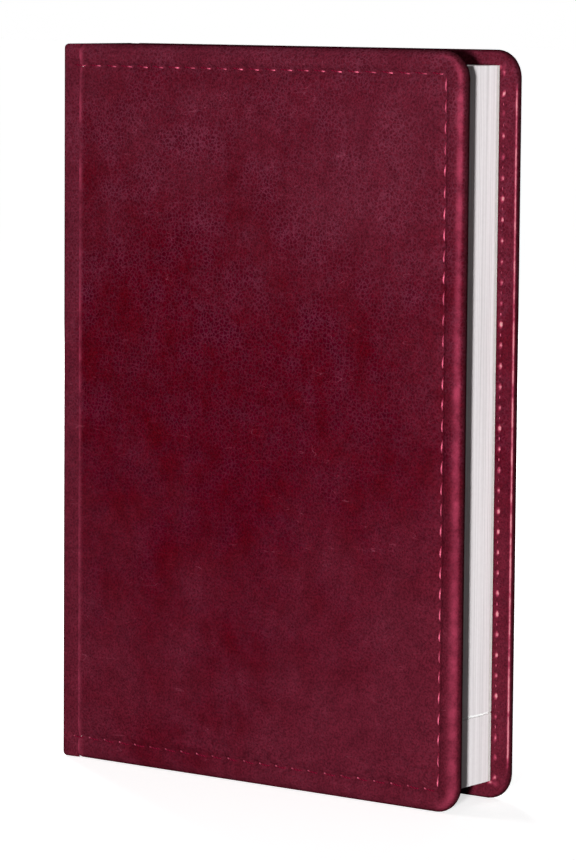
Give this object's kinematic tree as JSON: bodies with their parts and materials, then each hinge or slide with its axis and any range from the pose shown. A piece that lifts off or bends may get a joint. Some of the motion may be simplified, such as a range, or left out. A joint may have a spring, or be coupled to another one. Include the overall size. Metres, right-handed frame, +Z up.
{
  "type": "undated diary",
  "caption": "Undated diary: a padded, stitched leatherette hard cover on flexible joints, closed round a sewn block of leaves with perforated corners.",
  "frame": {"origin": "middle of the closed diary's foot: the level of the covers' tail edges, halfway from the spine to the fore edge and halfway from the front cover to the back cover", "axes": "+Z up the height of the cover from tail to head, +X from the spine to the fore edge, +Y from the front cover through to the back cover, so the front cover faces -Y"},
  "size_m": [0.145, 0.031, 0.215],
  "materials": {
    "leatherette": "burgundy polyurethane leatherette, fine grain, semi-gloss",
    "seam_thread": "crimson polyester sewing thread",
    "greyboard": "unfinished greyboard",
    "foam": "thin padding foam",
    "page_paper": "uncoated writing paper",
    "end_paper": "uncoated end paper",
    "kraft_paper": "kraft lining paper",
    "gauze": "open-weave cotton gauze",
    "glue": "dried binding glue",
    "sewing_thread": "white linen sewing thread",
    "band_cloth": "woven cloth over a bead"
  },
  "bodies": {
    "text_block": {"spine_skin": "leatherette", "spine_board": "greyboard", "spine_lining": "kraft_paper", "spine_gauze": "gauze", "spine_glue": "glue", "head_band": "band_cloth", "tail_band": "band_cloth", "section_01": "page_paper", "section_02": "page_paper", "section_03": "page_paper", "section_04": "page_paper", "section_05": "page_paper", "section_06": "page_paper", "section_07": "page_paper", "section_08": "page_paper", "section_09": "page_paper", "section_10": "page_paper", "section_11": "page_paper", "front_leaf_margins": "page_paper", "back_leaf_margins": "page_paper", "sewing_thread_1": "sewing_thread", "sewing_thread_2": "sewing_thread", "sewing_thread_3": "sewing_thread", "sewing_thread_4": "sewing_thread", "front_joint_strip": "leatherette", "front_endpaper_fold": "end_paper", "back_joint_strip": "leatherette", "back_endpaper_fold": "end_paper"},
    "front_cover": {"front_cover_skin": "leatherette", "front_padding": "foam", "front_board": "greyboard", "front_pastedown": "end_paper", "front_seam_top_thread": "seam_thread", "front_seam_bobbin_thread": "seam_thread"},
    "back_cover": {"back_cover_skin": "leatherette", "back_padding": "foam", "back_board": "greyboard", "back_pastedown": "end_paper", "back_seam_top_thread": "seam_thread", "back_seam_bobbin_thread": "seam_thread"},
    "front_flyleaf_body": {"front_flyleaf": "end_paper"},
    "front_leaf_1_body": {"front_leaf_1": "page_paper"},
    "front_leaf_2_body": {"front_leaf_2": "page_paper"},
    "front_leaf_3_body": {"front_leaf_3": "page_paper"},
    "front_leaf_4_body": {"front_leaf_4": "page_paper"},
    "back_flyleaf_body": {"back_flyleaf": "end_paper"},
    "back_leaf_1_body": {"back_leaf_1": "page_paper"},
    "back_leaf_2_body": {"back_leaf_2": "page_paper"},
    "back_leaf_3_body": {"back_leaf_3": "page_paper"},
    "back_leaf_4_body": {"back_leaf_4": "page_paper"}
  },
  "joints": [
    {"name": "front_cover_hinge", "type": "hinge", "parent": "text_block", "child": "front_cover", "pos_m": [-0.07, -0.01475, 0.1075], "axis": [0, 0, -1], "range_deg": [0, 180], "deforming": ["front_joint_strip", "front_endpaper_fold"]},
    {"name": "back_cover_hinge", "type": "hinge", "parent": "text_block", "child": "back_cover", "pos_m": [-0.07, 0.01475, 0.1075], "axis": [0, 0, 1], "range_deg": [0, 180], "deforming": ["back_joint_strip", "back_endpaper_fold"]},
    {"name": "front_flyleaf_turn", "type": "hinge", "parent": "text_block", "child": "front_flyleaf_body", "pos_m": [-0.0606, -0.01114, 0.1075], "axis": [0, 0, -1], "range_deg": [0, 150]},
    {"name": "front_leaf_1_turn", "type": "hinge", "parent": "text_block", "child": "front_leaf_1_body", "pos_m": [-0.0601, -0.01088, 0.1075], "axis": [0, 0, -1], "range_deg": [0, 120]},
    {"name": "front_leaf_2_turn", "type": "hinge", "parent": "text_block", "child": "front_leaf_2_body", "pos_m": [-0.0596, -0.01062, 0.1075], "axis": [0, 0, -1], "range_deg": [0, 91]},
    {"name": "front_leaf_3_turn", "type": "hinge", "parent": "text_block", "child": "front_leaf_3_body", "pos_m": [-0.0591, -0.01036, 0.1075], "axis": [0, 0, -1], "range_deg": [0, 62]},
    {"name": "front_leaf_4_turn", "type": "hinge", "parent": "text_block", "child": "front_leaf_4_body", "pos_m": [-0.0586, -0.0101, 0.1075], "axis": [0, 0, -1], "range_deg": [0, 33]},
    {"name": "back_flyleaf_turn", "type": "hinge", "parent": "text_block", "child": "back_flyleaf_body", "pos_m": [-0.0606, 0.01114, 0.1075], "axis": [0, 0, 1], "range_deg": [0, 150]},
    {"name": "back_leaf_1_turn", "type": "hinge", "parent": "text_block", "child": "back_leaf_1_body", "pos_m": [-0.0601, 0.01088, 0.1075], "axis": [0, 0, 1], "range_deg": [0, 120]},
    {"name": "back_leaf_2_turn", "type": "hinge", "parent": "text_block", "child": "back_leaf_2_body", "pos_m": [-0.0596, 0.01062, 0.1075], "axis": [0, 0, 1], "range_deg": [0, 91]},
    {"name": "back_leaf_3_turn", "type": "hinge", "parent": "text_block", "child": "back_leaf_3_body", "pos_m": [-0.0591, 0.01036, 0.1075], "axis": [0, 0, 1], "range_deg": [0, 62]},
    {"name": "back_leaf_4_turn", "type": "hinge", "parent": "text_block", "child": "back_leaf_4_body", "pos_m": [-0.0586, 0.0101, 0.1075], "axis": [0, 0, 1], "range_deg": [0, 33]}
  ],
  "couplings": [
    {"joint": "front_flyleaf_turn", "follows": "front_cover_hinge", "ratio": 0.83},
    {"joint": "front_leaf_1_turn", "follows": "front_cover_hinge", "ratio": 0.66},
    {"joint": "front_leaf_2_turn", "follows": "front_cover_hinge", "ratio": 0.5},
    {"joint": "front_leaf_3_turn", "follows": "front_cover_hinge", "ratio": 0.34},
    {"joint": "front_leaf_4_turn", "follows": "front_cover_hinge", "ratio": 0.18},
    {"joint": "back_flyleaf_turn", "follows": "back_cover_hinge", "ratio": 0.83},
    {"joint": "back_leaf_1_turn", "follows": "back_cover_hinge", "ratio": 0.66},
    {"joint": "back_leaf_2_turn", "follows": "back_cover_hinge", "ratio": 0.5},
    {"joint": "back_leaf_3_turn", "follows": "back_cover_hinge", "ratio": 0.34},
    {"joint": "back_leaf_4_turn", "follows": "back_cover_hinge", "ratio": 0.18}
  ]
}
